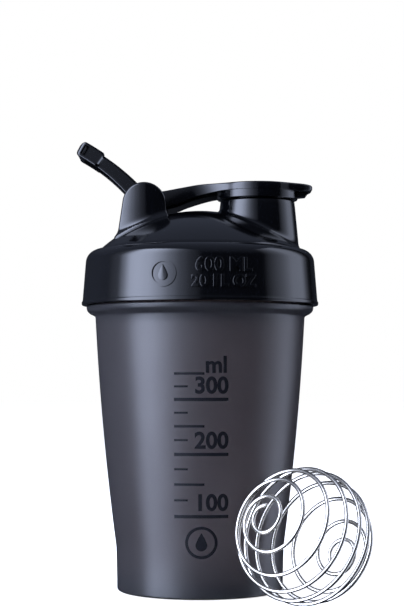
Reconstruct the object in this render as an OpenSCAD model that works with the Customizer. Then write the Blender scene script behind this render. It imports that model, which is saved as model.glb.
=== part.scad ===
/* [Cup] */
// Height of the brim above the surface that the cup stands on
cup_h = 137.5; // [136:0.5:138]
// Outer radius of the foot
foot_r = 34.2; // [33:0.1:36]
// Outer radius of the body just under the collar
body_r = 43.5; // [43:0.1:44]
// Height at which the straight foot turns into the flare
knee_z = 18; // [12:1:24]
// Wall thickness of the cup
wall = 1.8; // [1.4:0.1:2]
// Height of the collar's flat top
collar_z = 117; // [116:0.1:117]

/* [Thread] */
// Rise of the lid for one full turn
lead = 5; // [4:0.5:6]
// Turns of thread on the neck and in the lid
thread_turns = 1.5; // [1:0.25:1.5]

/* [Lid] */
// Outer radius of the skirt at its lower edge
skirt_r = 49.2; // [49:0.1:50]
// Height of the shoulder, where the skirt turns into the dome
shoulder_z = 140.5; // [140.4:0.1:141]
// Height of the dome's crown
crown_z = 156.7; // [156:0.1:157]
// Distance from the bottle's axis to the middle of the spout
spout_x = 24; // [23:0.5:25]
// Radius of the spout's bore
spout_bore_r = 13; // [13:0.1:13.4]
// Height of the spout's rim
spout_z = 161; // [160.5:0.1:161]

/* [Hinge] */
// Distance of the hinge from the bottle's axis, towards the loop
hinge_x = -22.9; // [-23.5:0.1:-22.5]
// Height of the hinge
hinge_z = 158.4; // [158:0.1:159]
// Radius of the hinge pin
pin_r = 2; // [1.5:0.1:2.2]
// Running clearance of the pin in its holes, on the radius
pin_gap = 0.05; // [0.02:0.01:0.1]

/* [Carry loop] */
// Length of the loop from the hinge to its tip
loop_l = 36.3; // [34:0.1:38]
// Angle of the loop above the level, where it leaves the hinge
loop_angle = 53; // [50:1:54]

/* [Whisk ball] */
// Outer radius of the ball
ball_r = 26.5; // [25:0.1:26.6]
// Diameter of its wire
wire_d = 1.6; // [1.4:0.1:1.8]
// Turns of the wire from pole to pole
ball_turns = 9.42; // [8:0.01:10]

/* [Hidden] */
$fn = 96;
eps = 0.01;

// The cup. Its neck is a straight tube above the collar.
neck_r = body_r + 0.1;
neck_in_r = neck_r - wall;
flare_z = collar_z - 4.8;
flare_steps = 10;
foot_round = 2;
stand_in_r = 27;
push_up = 1.6;
floor_z = 4;

// The thread. Both ridges follow one helix, so they stay clear of each other as the lid turns.
thread_steps = 32;
thread_z = 123;
thread_w = 2.4;
thread_tip_w = 0.8;
ridge_drop = 1.9;
thread_crest_r = neck_r + 1.4;
lid_crest_r = neck_r + 0.4;

// The lid
skirt_in_r = thread_crest_r + 0.4;
skirt_z = collar_z + 0.2;
lip_h = 1.6;
shoulder_r = 5.2;
dome_foot_r = 41.6;
dome_r = (dome_foot_r ^ 2 + (crown_z - shoulder_z) ^ 2) / (2 * (crown_z - shoulder_z));
dome_wall = 2.2;
gasket_h = 1.4;
ceiling_z = cup_h + gasket_h;
plug_ring_r = neck_in_r - 0.3;
spout_wall = 2.5;
spout_foot_r = spout_bore_r + 4.4;

// The hinge tower: two cheeks, one each side
cheek_r = 9;
cheek_in_y = 11.4;
cheek_out_y = 15.4;
cheek_face_r = 24;
socket_y = 13;
pin_y = 12.9;

// The flip cap
arm_y = 7;
knuckle_r = 5;
cap_top_z = 167.6;
cap_edge_h = 3.2;
cap_disc_r = 17.2;
cap_flare_r = 24;
cap_flare = [-3.14, arm_y + cap_flare_r];
ring_r = 16.8;
ring_z = spout_z + 0.3;
plug_r = 12;
plug_z = 156.6;
plug_wall = 2;
groove_r = 11.2;
groove_z = 157.8;
groove_h = 2.4;
cap_skin = 2;
rib_y = 1.2;
tab_x = 46.7;

// The carry loop
loop_leg_y = 10;
loop_tip_y = 11;
loop_hole_y = 7.4;
loop_rise = 3.9;
loop_neck_rise = 2.95;
loop_drop = 2.8;
loop_neck_drop = 2.35;
loop_tip_rise = 3.9;
loop_tip_drop = 2.6;
loop_tip_l = 10.2;
loop_corner_r = 2;
loop_bend = 25;
loop_eye_r = 4.6;
loop_bar = 3;
loop_steps = 8;

// The whisk ball stands on the same surface as the cup, with its winding's axis pointing towards ball_aim
// and ball_tilt up from the level. The wire starts and ends a few degrees from the poles, where it winds
// closely: the space between turns grows over the first and last turns, and is widest next to the poles.
ball_at = [39.8, -49, ball_r];
ball_aim = -132;
ball_tilt = 20.2;
ball_turned = 61.5;
pole_gap = [10.4, 12.1];
close_turns = [1.57, 1.18];
close_middle = 0.029;
ball_steps = 24;
wire_sides = 8;

function lerp(a, b, t) = a + (b - a) * t;
function arc(centre, r, from, to, steps = 6) =
    [for (i = [0:steps]) let (a = lerp(from, to, i / steps)) centre + r * [cos(a), sin(a)]];

// Faces of a tube of rings, each with the same number of corners, closed at both ends
function tube_faces(rings, sides) = concat(
    [[for (k = [sides - 1:-1:0]) k]],
    [for (i = [0:rings - 2], k = [0:sides - 1])
        let (n = (k + 1) % sides)
        [i * sides + k, i * sides + n, (i + 1) * sides + n, (i + 1) * sides + k]],
    [[for (k = [0:sides - 1]) (rings - 1) * sides + k]]
);

// A ridge that winds up a wall, thinning to nothing over a few steps at each end
module thread_ridge(root_r, crest_r, z) {
    steps = round(thread_turns * thread_steps);
    inward = crest_r < root_r;
    points = [for (i = [0:steps])
        let (
            a = 360 * i / thread_steps,
            rise = lead * i / thread_steps,
            r = lerp(root_r, crest_r, max(0.05, min(1, i / 4, (steps - i) / 4))),
            loop = [[root_r, -thread_w / 2], [r, -thread_tip_w / 2], [r, thread_tip_w / 2], [root_r, thread_w / 2]]
        )
        each [for (p = inward ? [loop[3], loop[2], loop[1], loop[0]] : loop)
            [p.x * cos(a), p.x * sin(a), z + rise + p.y]]];
    polyhedron(points, tube_faces(steps + 1, 4));
}

// Outer radius of the body at a share s of the way up the flare
function flare(s) = lerp(foot_r + 0.4, body_r, 1.43 * s - 0.43 * s * s);
flare_line = [for (i = [0:flare_steps])
    let (s = i / flare_steps) [flare(s), lerp(knee_z, flare_z, s)]];

module cup() {
    color([0.30, 0.31, 0.36, 0.6]) union() {
        rotate_extrude() polygon(concat(
            [[0, push_up], [stand_in_r - 1.5, push_up], [stand_in_r, 0]],
            arc([foot_r - foot_round, foot_round], foot_round, -90, 0),
            flare_line,
            [[46.4, collar_z - 2.7], [47.1, collar_z - 1.7]],
            arc([46.7, collar_z - 0.6], 0.6, 0, 90, 3),
            [[neck_r, collar_z], [neck_r, cup_h - 0.5], [neck_r - 0.5, cup_h]],
            [[neck_in_r + 0.3, cup_h], [neck_in_r, cup_h - 0.3], [neck_in_r, collar_z]],
            [for (i = [flare_steps:-1:0]) flare_line[i] - [wall, 0]],
            arc([foot_r - wall - 4, floor_z + 4], 4, 0, -90),
            [[0, floor_z]]
        ));
        thread_ridge(neck_r - 0.4, thread_crest_r, thread_z);
    }
}

module lid_gasket() {
    color([0.12, 0.12, 0.13]) translate([0, 0, cup_h]) difference() {
        cylinder(r = skirt_in_r - 1.6, h = gasket_h - 0.1);
        translate([0, 0, -eps]) cylinder(r = neck_in_r + 0.2, h = gasket_h);
    }
}

// Outline of the lid's shell from outside, filled to the axis
module lid_outside() {
    dome_angle = acos(dome_foot_r / dome_r);
    rotate_extrude() polygon(concat(
        [[0, skirt_z], [skirt_r - 0.3, skirt_z], [skirt_r + 0.1, skirt_z + 0.4]],
        [[skirt_r, skirt_z + lip_h], [skirt_r - 0.3, skirt_z + lip_h + 0.3]],
        arc([skirt_r - 1.6 - shoulder_r, shoulder_z - shoulder_r], shoulder_r, 6, 90, 8),
        [[dome_foot_r + 0.6, shoulder_z], [dome_foot_r + 0.3, shoulder_z - 0.5], [dome_foot_r, shoulder_z - 0.5]],
        arc([0, crown_z - dome_r], dome_r, dome_angle, 90, 12)
    ));
}

module lid_inside() {
    inner_r = dome_r - dome_wall;
    lip_in_r = plug_ring_r - 1.6;
    rotate_extrude() polygon(concat(
        [[0, skirt_z - 1], [skirt_in_r + 1.4, skirt_z - 1], [skirt_in_r + 1.4, skirt_z], [skirt_in_r, skirt_z + 3]],
        [[skirt_in_r, ceiling_z - 2], [skirt_in_r - 1.2, ceiling_z], [plug_ring_r, ceiling_z]],
        [[plug_ring_r, cup_h - 5], [lip_in_r, cup_h - 5]],
        arc([0, crown_z - dome_r], inner_r, acos(lip_in_r / inner_r), 90, 10)
    ));
}

module cheek(side) {
    outline = concat(
        arc([hinge_x, hinge_z], cheek_r, 8, 172, 14),
        [[hinge_x - 11.4, shoulder_z + 4], [hinge_x - 12, shoulder_z - 1], [hinge_x + 10.4, shoulder_z - 1]]
    );
    intersection() {
        rotate([90, 0, 0]) translate([0, 0, side > 0 ? -cheek_out_y : cheek_in_y])
            linear_extrude(cheek_out_y - cheek_in_y) polygon(outline);
        translate([hinge_x, side * (cheek_out_y - cheek_face_r), shoulder_z - 2])
            cylinder(r = cheek_face_r, h = 40);
    }
}

module lid() {
    color([0.06, 0.06, 0.07]) union() {
        difference() {
            union() {
                lid_outside();
                translate([spout_x, 0, shoulder_z - 1]) rotate_extrude() polygon([
                    [0, 0], [spout_foot_r, 0], [spout_bore_r + spout_wall, spout_z - shoulder_z + 0.2],
                    [spout_bore_r + spout_wall - 0.8, spout_z - shoulder_z + 1], [0, spout_z - shoulder_z + 1]
                ]);
                for (side = [-1, 1]) cheek(side);
            }
            lid_inside();
            translate([spout_x, 0, shoulder_z - 8]) cylinder(r = spout_bore_r, h = 40);
            for (side = [-1, 1]) translate([hinge_x, side * (socket_y - 2), hinge_z]) rotate([90, 0, 0])
                cylinder(r = pin_r + pin_gap, h = 4, center = true);
        }
        thread_ridge(skirt_in_r + 0.4, lid_crest_r, thread_z - ridge_drop);
    }
}

module hinge_pin() {
    color("silver") translate([hinge_x, 0, hinge_z]) rotate([90, 0, 0])
        cylinder(r = pin_r, h = 2 * pin_y, center = true, $fn = 48);
}

// Plan of the cap: a round plate over the spout, a narrow arm and a thumb tab
module cap_plan() {
    translate([spout_x, 0]) circle(r = cap_disc_r);
    translate([hinge_x - knuckle_r, -arm_y]) square([spout_x - hinge_x, 2 * arm_y]);
    for (side = [-1, 1]) polygon(concat(
        [[cap_flare.x, 0], [spout_x, 0]],
        [for (p = arc(cap_flare, cap_flare_r, -90 + 41.2, -90, 10)) [p.x, side * p.y]]
    ));
    polygon([
        [spout_x, -cap_disc_r], [tab_x - 5, -9], [tab_x - 1.2, -7], [tab_x, -5],
        [tab_x, 5], [tab_x - 1.2, 7], [tab_x - 5, 9], [spout_x, cap_disc_r]
    ]);
}

// Side view of the plate and arm, as far down as the arm's side walls reach
module cap_side() {
    polygon([
        [hinge_x, hinge_z + knuckle_r], [hinge_x + 9.2, cap_top_z - 2.8], [hinge_x + 15, cap_top_z - 1.7],
        [0, cap_top_z - 0.4], [8, cap_top_z], [40, cap_top_z], [45, cap_top_z - 0.3],
        [tab_x, cap_top_z - 1], [tab_x - 0.7, cap_top_z - 2.3], [tab_x - 1.6, cap_top_z - cap_edge_h],
        [8.5, cap_top_z - cap_edge_h], [2, cap_top_z - 4.6], [-4, cap_top_z - 6.4], [-9, cap_top_z - 8.4],
        [-13.3, hinge_z - 0.4], [hinge_x, hinge_z - 1]
    ]);
}

// Side view of the middle rib, which reaches from the knuckle to the ring
module cap_rib_side() {
    polygon([
        [hinge_x, hinge_z - knuckle_r], [hinge_x + 3.9, hinge_z - 3.4], [-14, 155.6], [-10, 156.3],
        [-6.7, 157.6], [0, 159.9], [7.5, 161.7], [10, ring_z], [10, cap_top_z - 1], [0, cap_top_z - 1.4], [hinge_x, hinge_z + 3]
    ]);
}

module side_wall(half_y) {
    rotate([90, 0, 0]) linear_extrude(2 * half_y, center = true) children();
}

module flip_cap() {
    color([0.07, 0.07, 0.08]) difference() {
        union() {
            difference() {
                intersection() {
                    side_wall(30) cap_side();
                    translate([0, 0, 150]) linear_extrude(30) cap_plan();
                }
                // the arm is a channel, open below
                translate([hinge_x + 8, -arm_y + cap_skin, 150]) cube([22, 2 * (arm_y - cap_skin), 13.4]);
            }
            side_wall(rib_y) cap_rib_side();
            translate([spout_x, 0, ring_z]) difference() {
                cylinder(r = ring_r, h = cap_top_z - cap_edge_h - ring_z + 0.5);
                translate([0, 0, -1]) cylinder(r = ring_r - 2.6, h = cap_top_z - cap_edge_h - ring_z + 1);
            }
            translate([spout_x, 0, 0]) rotate_extrude() polygon([
                [plug_r - plug_wall, plug_z], [plug_r - 0.6, plug_z], [plug_r, plug_z + 0.6], [plug_r, groove_z],
                [groove_r, groove_z], [groove_r, groove_z + groove_h], [plug_r, groove_z + groove_h],
                [plug_r, cap_top_z - 1], [plug_r - plug_wall, cap_top_z - 1]
            ]);
            // gusset under the thumb tab
            side_wall(3.2) polygon([
                [spout_x + ring_r - 1, ring_z], [tab_x - 3.2, ring_z + 1.3], [tab_x - 1.2, cap_top_z - 2.8],
                [spout_x + ring_r - 1, cap_top_z - 2.8]
            ]);
            translate([hinge_x, 0, hinge_z]) rotate([90, 0, 0])
                cylinder(r = knuckle_r, h = 2 * arm_y, center = true);
        }
        translate([hinge_x, 0, hinge_z]) rotate([90, 0, 0])
            cylinder(r = pin_r + pin_gap, h = 2 * arm_y + 2, center = true);
    }
}

module spout_seal() {
    mid = groove_z + groove_h / 2;
    color([0.16, 0.16, 0.17]) translate([spout_x, 0, mid]) rotate_extrude() polygon(concat(
        [[groove_r + 0.05, groove_h / 2 - 0.1], [groove_r + 0.05, -groove_h / 2 + 0.1]],
        arc([groove_r + 0.4, 0], 1.1, -70, 70, 8)
    ));
}

// The loop is drawn lying along +X from the hinge, bending down, then turned up to its angle. Its legs thin
// a little towards the tip.
function loop_mid(s) = let (r = loop_l / (loop_bend * PI / 180), a = loop_bend * s / loop_l)
    [r * sin(a), r * (cos(a) - 1)];
function loop_edge(from, to, h, end_h) = [for (i = [0:loop_steps])
    let (s = lerp(from, to, i / loop_steps), a = loop_bend * s / loop_l)
    loop_mid(s) + lerp(h, end_h, i / loop_steps) * [sin(a), cos(a)]];

// Side view of a stretch of the loop, with its heights above and below the middle line at both ends
module loop_bar_side(from, to, rise, drop) {
    polygon(concat(loop_edge(from, to, rise[0], rise[1]), loop_edge(to, from, -drop[1], -drop[0])));
}

// Plan of the loop's tip, with its two round corners, measured back from its end
module loop_tip_plan() {
    back = 2 * loop_tip_l;
    straight_y = loop_tip_y - loop_corner_r;
    translate([-back, -loop_tip_y]) square([back - loop_corner_r, 2 * loop_tip_y]);
    translate([-back, -straight_y]) square([back, 2 * straight_y]);
    for (side = [-1, 1]) translate([-loop_corner_r, side * straight_y]) circle(r = loop_corner_r);
}

module carry_loop() {
    tip = loop_mid(loop_l);
    tip_from = loop_l - loop_tip_l;
    color([0.07, 0.07, 0.08]) translate([hinge_x, 0, hinge_z]) rotate([0, 180 + loop_angle, 0]) mirror([0, 0, 1])
        difference() {
            union() {
                side_wall(loop_leg_y) loop_bar_side(0, tip_from + 1, [loop_rise, loop_neck_rise], [loop_drop, loop_neck_drop]);
                intersection() {
                    side_wall(loop_tip_y)
                        loop_bar_side(tip_from, loop_l, loop_tip_rise * [1, 1], loop_tip_drop * [1, 1]);
                    translate([tip.x, 0, tip.y]) rotate([0, loop_bend, 0])
                        linear_extrude(20, center = true) loop_tip_plan();
                }
                rotate([90, 0, 0]) cylinder(r = loop_eye_r, h = 2 * loop_leg_y + 1, center = true);
            }
            // the finger hole, open to the hinge
            side_wall(loop_hole_y) loop_bar_side(-8, loop_l - loop_bar, [6, 6], [6, 6]);
            // shallow pockets in the two sides of the tip
            for (side = [-1, 1]) translate([0, side * (loop_tip_y + 1), 0])
                side_wall(2) loop_bar_side(tip_from - 1, loop_l - 1.6,
                    (loop_tip_rise - 1.1) * [1, 1], (loop_tip_drop - 1.1) * [1, 1]);
            rotate([90, 0, 0]) cylinder(r = pin_r + pin_gap, h = 40, center = true);
        }
}

// Share of the way from pole to pole at a share t of the wire
function wound(t) =
    let (
        first = close_turns[0] / ball_turns,
        last = close_turns[1] / ball_turns,
        full = 1 - (first + last) / 2,
        way = (t < first ? t * t / (2 * first)
            : t < 1 - last ? t - first / 2
            : full - (1 - t) ^ 2 / (2 * last)) / full
    )
    way + close_middle * sin(360 * way);

// A wire wound on a sphere from pole to pole
module whisk_ball() {
    axis = [cos(ball_tilt) * cos(ball_aim), cos(ball_tilt) * sin(ball_aim), sin(ball_tilt)];
    across = cross([0, 0, 1], axis) / norm(cross([0, 0, 1], axis));
    up = cross(axis, across);
    steps = round(ball_turns * ball_steps);
    wind_r = ball_r - wire_d / 2;
    function on_ball(t) =
        let (tilt = lerp(pole_gap[0], 180 - pole_gap[1], wound(t)), turn = ball_turned + 360 * ball_turns * t)
        wind_r * (cos(tilt) * axis + sin(tilt) * (cos(turn) * across + sin(turn) * up));
    points = [for (i = [0:steps])
        let (
            p = on_ball(i / steps),
            along = on_ball(min(1, (i + 0.5) / steps)) - on_ball(max(0, (i - 0.5) / steps)),
            out = p / norm(p),
            side = cross(along, out) / norm(cross(along, out))
        )
        each [for (k = [0:wire_sides - 1]) let (a = 360 * k / wire_sides)
            ball_at + p + wire_d / 2 * (cos(a) * out + sin(a) * side)]];
    color("lightgray") polyhedron(points, tube_faces(steps + 1, wire_sides));
}

cup();
lid_gasket();
lid();
hinge_pin();
flip_cap();
spout_seal();
carry_loop();
whisk_ball();
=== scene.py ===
# %% [markdown]
# # A shaker bottle, its flip cap, its carry loop and its whisk ball
# On a bench the bottle comes apart into few pieces: a smoke-coloured cup, a black screw lid with a spout, a
# flip cap and a carry loop that share one hinge pin, two soft seals, and a ball of stainless wire. The
# packed design says how big each piece is and how it moves. Here each piece gets its finished surface.

# %% Load the frame
import math

import bmesh
import bpy
from mathutils import Matrix, Vector


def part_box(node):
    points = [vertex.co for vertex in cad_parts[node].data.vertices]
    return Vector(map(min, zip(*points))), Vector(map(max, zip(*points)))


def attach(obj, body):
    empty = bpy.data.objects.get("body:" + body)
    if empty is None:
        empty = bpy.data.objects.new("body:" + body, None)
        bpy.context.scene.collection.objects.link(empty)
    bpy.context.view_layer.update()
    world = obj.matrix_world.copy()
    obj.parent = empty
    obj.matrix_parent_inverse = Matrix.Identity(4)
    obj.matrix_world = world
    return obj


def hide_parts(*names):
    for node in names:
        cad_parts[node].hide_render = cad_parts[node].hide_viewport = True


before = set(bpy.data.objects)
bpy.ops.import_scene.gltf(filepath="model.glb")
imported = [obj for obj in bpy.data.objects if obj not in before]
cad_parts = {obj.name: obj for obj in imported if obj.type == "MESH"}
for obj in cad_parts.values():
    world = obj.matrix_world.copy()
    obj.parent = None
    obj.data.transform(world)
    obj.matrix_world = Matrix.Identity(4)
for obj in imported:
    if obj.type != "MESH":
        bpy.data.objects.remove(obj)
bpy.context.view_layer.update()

# %% [markdown]
# ## Working in millimetres
# A moulder's drawing is in millimetres, so every mesh is built in them and made metres as it is finished.
# The places that the moving parts depend on are read from the frame, so that the looks can't drift from
# them.

# %% Sizes that come from the frame
MM = 0.001


def low(node):
    return [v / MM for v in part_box(node)[0]]


def high(node):
    return [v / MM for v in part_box(node)[1]]


brim_z = high("cup")[2]
hinge_x = (low("hinge_pin")[0] + high("hinge_pin")[0]) / 2
hinge_z = (low("hinge_pin")[2] + high("hinge_pin")[2]) / 2
pin_r = (high("hinge_pin")[2] - low("hinge_pin")[2]) / 2
spout_x = (low("spout_seal")[0] + high("spout_seal")[0]) / 2
print(f"brim {brim_z:.1f}, hinge at {hinge_x:.1f}, {hinge_z:.1f}, spout at {spout_x:.1f}")

# %% [markdown]
# ## Camera
# The bottle is seen from a little below its lid, as if across a table. A long lens keeps its sides
# straight.

# %% Camera
lens_length, film_width = 93.6, 36
camera_x, stand_back, eye_height, look_up = 0.00083, 0.6566, 0.0850, 2.916
scene = bpy.context.scene
scene.view_settings.view_transform = "Standard"
camera = bpy.data.objects.new("camera", bpy.data.cameras.new("camera"))
camera.data.lens = lens_length
camera.data.sensor_width = film_width
camera.data.clip_start = 0.01
camera.location = (camera_x, -stand_back, eye_height)
camera.rotation_euler = (math.radians(90 + look_up), 0, 0)
scene.collection.objects.link(camera)
scene.camera = camera
print(f"lens {camera.data.lens} mm, {-camera.location.y * 1000:.0f} mm in front of the bottle's axis")

# %% [markdown]
# ## Studio
# Gloss plastic shows what stands round it, so the room matters as much as the lamps. A tall soft box on the
# left fades towards both its sides, a weaker one stands on the right, and both reach below the floor. The
# room is dark, apart from a dim cool wall on the left and a paler ceiling. That draws the bright and black
# bands down the lid and along each turn of the wire. The white backdrop is only there for the eye and for
# light that comes through the cup.

# %% Node helpers
def add_node(tree, kind, inputs=(), **settings):
    """A node with its settings made, and its inputs set to a value or linked to another node's output."""
    node = tree.nodes.new(kind)
    for key, value in settings.items():
        setattr(node, key, value)
    for key, value in dict(inputs).items():
        if isinstance(value, bpy.types.NodeSocket):
            tree.links.new(value, node.inputs[key])
        else:
            node.inputs[key].default_value = value
    return node


def fade(tree, value, stops):
    """A ramp of greys along a value, given as (place, grey) pairs."""
    ramp = add_node(tree, "ShaderNodeValToRGB", {0: value})
    for i, (place, grey) in enumerate(stops):
        step = ramp.color_ramp.elements[i] if i < 2 else ramp.color_ramp.elements.new(place)
        step.position = place
        step.color = (grey, grey, grey, 1)
    return ramp.outputs[0]


def calculate(tree, operation, *values, clamp=False):
    """The result of a sum on numbers or on other nodes' outputs."""
    sum_node = add_node(tree, "ShaderNodeMath", enumerate(values), operation=operation, use_clamp=clamp)
    return sum_node.outputs[0]


def mix_colours(tree, share, first, second, blend="MIX"):
    """A colour between two others, or their product."""
    share_socket, first_socket, second_socket, result_socket = 0, 6, 7, 2
    mix = add_node(tree, "ShaderNodeMix", {share_socket: share, first_socket: first, second_socket: second},
                   data_type="RGBA", blend_type=blend)
    return mix.outputs[result_socket]


def seen_by_eye(tree):
    """1 for rays from the camera and for those that go on through the cup, and 0 for reflections."""
    path = add_node(tree, "ShaderNodeLightPath")
    return calculate(tree, "MAXIMUM", path.outputs["Is Camera Ray"], path.outputs["Is Transmission Ray"])


# %% Room: white to the eye, dark to the gloss
wall_narrowness, wall_strength, cool_tint = 3.0, 0.24, (0.68, 0.78, 1.1, 1)
black, white = (0, 0, 0, 1), (1, 1, 1, 1)
room = bpy.data.worlds.new("room")
room.use_nodes = True
scene.world = room
tree = room.node_tree
direction = add_node(tree, "ShaderNodeTexCoord").outputs["Generated"]
towards = add_node(tree, "ShaderNodeSeparateXYZ", {0: direction})
overhead = fade(tree, towards.outputs["Z"], [(0.0, 0.03), (0.3, 0.05), (1.0, 0.36)])
leftward = calculate(tree, "MULTIPLY", towards.outputs["X"], -1.0, clamp=True)
left_wall = calculate(tree, "POWER", leftward, wall_narrowness)
grey = calculate(tree, "MULTIPLY_ADD", left_wall, wall_strength, overhead)
cool = mix_colours(tree, grey, black, cool_tint)
shade = mix_colours(tree, seen_by_eye(tree), cool, white)
tree.links.new(shade, tree.nodes["Background"].inputs["Color"])
print("room", room.name, "dark to reflections, white to the camera")

# %% Soft boxes
def soft_box(name, azimuth, width, distance, low_z, high_z, strength, stops, tint):
    """An upright panel of light that faces the bottle. Azimuth is degrees to the right of the camera."""
    bm = bmesh.new()
    bmesh.ops.create_grid(bm, x_segments=1, y_segments=1, size=0.5)
    bmesh.ops.scale(bm, vec=(width, high_z - low_z, 1), verts=bm.verts)
    mesh = bpy.data.meshes.new(name)
    bm.to_mesh(mesh)
    bm.free()
    glow = bpy.data.materials.new(name + "_glow")
    glow.use_nodes = True
    tree = glow.node_tree
    tree.nodes.clear()
    place = add_node(tree, "ShaderNodeTexCoord").outputs["Object"]
    across = add_node(tree, "ShaderNodeSeparateXYZ", {0: place})
    share = add_node(tree, "ShaderNodeMapRange", {0: across.outputs["X"], 1: -width / 2, 2: width / 2})
    colour = mix_colours(tree, 1.0, fade(tree, share.outputs[0], stops), (*tint, 1), "MULTIPLY")
    light = add_node(tree, "ShaderNodeEmission", {"Color": colour, "Strength": strength})
    add_node(tree, "ShaderNodeOutputMaterial", {0: light.outputs[0]})
    mesh.materials.append(glow)
    panel = bpy.data.objects.new(name, mesh)
    turn = math.radians(azimuth)
    middle = Vector((distance * math.sin(turn), -distance * math.cos(turn), (low_z + high_z) / 2))
    upright = Matrix.Rotation(turn, 4, "Z") @ Matrix.Rotation(math.pi / 2, 4, "X")
    panel.matrix_world = Matrix.Translation(middle) @ upright
    panel.visible_camera = False
    panel.visible_transmission = False
    scene.collection.objects.link(panel)


soft_box("key_box", azimuth=-50, width=2.4, distance=1.0, low_z=-0.9, high_z=1.5, strength=11.0,
         stops=[(0.0, 0.025), (0.2, 0.07), (0.28, 0.38), (0.34, 0.88), (0.41, 1.0), (0.5, 0.9), (0.57, 0.66),
                (0.65, 0.34), (0.74, 0.15), (0.85, 0.06), (1.0, 0.02)], tint=(0.68, 0.76, 1.0))
soft_box("side_box", azimuth=104, width=1.56, distance=1.0, low_z=-0.9, high_z=1.4, strength=2.5,
         stops=[(0.0, 0.05), (0.3, 0.6), (0.47, 1.0), (0.66, 0.72), (0.76, 0.2), (0.86, 0.02), (1.0, 0.0)],
         tint=(0.71, 0.78, 1.0))
print("two soft boxes")

# %% Floor
floor_half, floor_drop, floor_brightness = 6, 0.0004, 0.85
floor_mesh = bpy.data.meshes.new("floor")
bm = bmesh.new()
bmesh.ops.create_grid(bm, x_segments=1, y_segments=1, size=floor_half)
bm.to_mesh(floor_mesh)
bm.free()
floor = bpy.data.objects.new("floor", floor_mesh)
pale = bpy.data.materials.new("pale_floor")
pale.use_nodes = True
pale_sheet = pale.node_tree.nodes["Principled BSDF"]
for key, value in {"Base Color": (0.9, 0.9, 0.9, 1), "Roughness": 1, "Specular IOR Level": 0,
                   "Emission Color": white}.items():
    pale_sheet.inputs[key].default_value = value
floor_glow = calculate(pale.node_tree, "MULTIPLY", seen_by_eye(pale.node_tree), floor_brightness)
pale.node_tree.links.new(floor_glow, pale_sheet.inputs["Emission Strength"])
floor_mesh.materials.append(pale)
floor.location = (0, 0, -floor_drop)
floor.visible_glossy = False
scene.collection.objects.link(floor)
print(f"floor {2 * floor_half} m across")

# %% [markdown]
# ## Finishes
# Moulded plastic is never quite even: the mould's polish leaves faint waves in the reflection and a fine
# grain in the gloss. Both are worked out from the place on the piece, so they stay put when the piece
# moves. Every plastic and metal here shares them, so they are one group with its own strength in each
# finish.

# %% Moulded surface: faint waves and fine grain
def new_group(name, inputs, outputs):
    """An empty group of nodes with number sockets, and its two end nodes."""
    group = bpy.data.node_groups.new(name, "ShaderNodeTree")
    for label, value in inputs:
        socket = group.interface.new_socket(label, in_out="INPUT", socket_type="NodeSocketFloat")
        socket.default_value = value
    for label in outputs:
        group.interface.new_socket(label, in_out="OUTPUT", socket_type="NodeSocketFloat")
    return group, group.nodes.new("NodeGroupInput"), group.nodes.new("NodeGroupOutput")


grain_height, bump_depth = 0.12, 0.0002
moulded, given, made = new_group(
    "moulded_surface", [("Wave Size", 60.0), ("Grain Size", 2500.0), ("Gloss", 0.2), ("Unevenness", 0.05)],
    ["Height", "Roughness", "Grain"])
place = add_node(moulded, "ShaderNodeTexCoord").outputs["Object"]
waves = add_node(moulded, "ShaderNodeTexNoise",
                 {"Vector": place, "Scale": given.outputs["Wave Size"], "Detail": 1.0}).outputs[0]
grain = add_node(moulded, "ShaderNodeTexNoise",
                 {"Vector": place, "Scale": given.outputs["Grain Size"], "Detail": 2.0}).outputs[0]
height = calculate(moulded, "ADD", waves, calculate(moulded, "MULTIPLY", grain, grain_height))
uneven = add_node(moulded, "ShaderNodeMapRange", {0: waves, 1: 0.3, 2: 0.7, 3: -1.0, 4: 1.0}).outputs[0]
gloss = calculate(moulded, "MULTIPLY_ADD", uneven, given.outputs["Unevenness"], given.outputs["Gloss"])
for label, socket in (("Height", height), ("Roughness", gloss), ("Grain", grain)):
    moulded.links.new(socket, made.inputs[label])
print("group", moulded.name, "gives", [s.name for s in moulded.interface.items_tree if s.in_out == "OUTPUT"])

# %% A finish from a shader and the moulded surface
def finish_of(name, colour, settings, surface, bump, dark=0.9, light=1.1):
    """A material that drifts between dark and light shares of one colour, with the moulded surface."""
    material = bpy.data.materials.new(name)
    material.use_nodes = True
    tree = material.node_tree
    shader = tree.nodes["Principled BSDF"]
    for key, value in settings.items():
        shader.inputs[key].default_value = value
    group = add_node(tree, "ShaderNodeGroup", node_tree=moulded)
    for key, value in surface.items():
        group.inputs[key].default_value = value
    darker, lighter = [(*[c * share for c in colour], 1) for share in (dark, light)]
    tone = mix_colours(tree, group.outputs["Grain"], darker, lighter)
    lumps = add_node(tree, "ShaderNodeBump",
                     {"Height": group.outputs["Height"], "Strength": bump, "Distance": bump_depth})
    tree.links.new(tone, shader.inputs["Base Color"])
    tree.links.new(group.outputs["Roughness"], shader.inputs["Roughness"])
    tree.links.new(lumps.outputs[0], shader.inputs["Normal"])
    return material


# %% [markdown]
# ### The finishes of the pieces
# The lid, cap and loop are black plastic from a polished mould. The cup is a clear plastic with a little
# smoke pigment: light is scattered as it enters, and what goes through is darkened. The seals are matt
# silicone, the pin is ground steel, and the wire is polished steel. The cup's ink is made further down,
# with the marks.

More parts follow.
